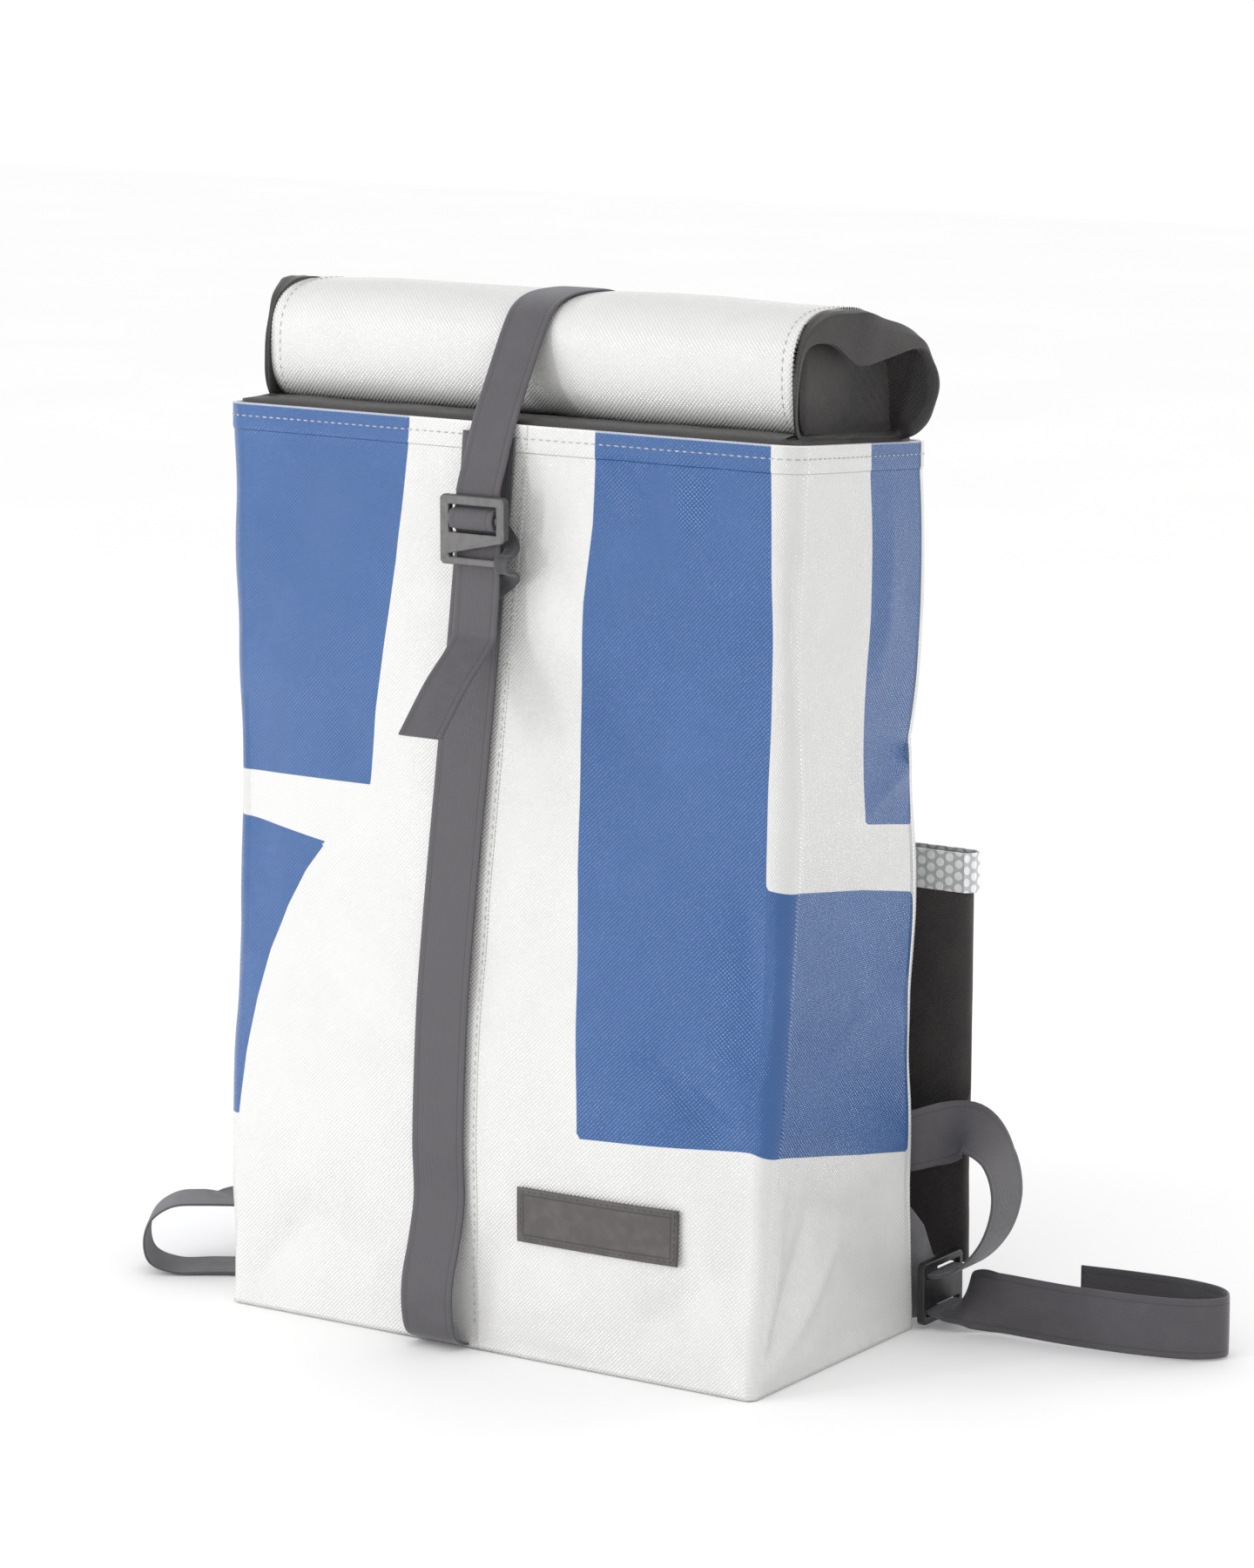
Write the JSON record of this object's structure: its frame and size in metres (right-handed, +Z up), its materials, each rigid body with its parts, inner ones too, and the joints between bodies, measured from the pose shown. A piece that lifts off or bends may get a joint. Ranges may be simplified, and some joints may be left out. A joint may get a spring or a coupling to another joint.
{
  "type": "roll-top messenger backpack",
  "caption": "Roll-top messenger backpack of glossy tarpaulin, its rolled closure held by a hook buckle strap, with two shoulder straps.",
  "frame": {"origin": "centre of the flat base, where it stands on the floor", "axes": "+X is the wearer's left-right width (to the viewer's right from the front), -Y is the front with the closing strap, +Z is up"},
  "size_m": [0.5405, 0.253, 0.5079],
  "materials": {
    "tarp": "glossy PVC-coated truck tarpaulin, white with blue blocks",
    "textile": "matt coated textile",
    "webbing": "woven nylon webbing",
    "metal": "dark satin",
    "label": "matt, blank",
    "padding": "matt textile over foam",
    "reflective": "silver reflective honeycomb tape",
    "plastic": "moulded black",
    "tab": "woven grey"
  },
  "bodies": {
    "root": {"body_shell": "tarp", "collar": "textile", "roll_panel": "tarp", "front_webbing": "webbing", "closing_strap": "webbing", "hook_buckle": "metal", "hook_loop": "webbing", "label_patch": "label", "back_panel": "padding", "roll_end_right": "textile", "roll_end_left": "textile", "shoulder_pad_right": "padding", "shoulder_pad_left": "padding", "reflective_band_right": "reflective", "reflective_band_left": "reflective", "upper_webbing_right": "webbing", "upper_webbing_left": "webbing", "corner_tab_right": "tab", "corner_tab_left": "tab", "ladder_lock_right": "plastic", "ladder_lock_left": "plastic", "adjuster_webbing_right": "webbing", "adjuster_webbing_left": "webbing", "webbing_tail_right": "webbing", "webbing_tail_left": "webbing"}
  },
  "joints": []
}
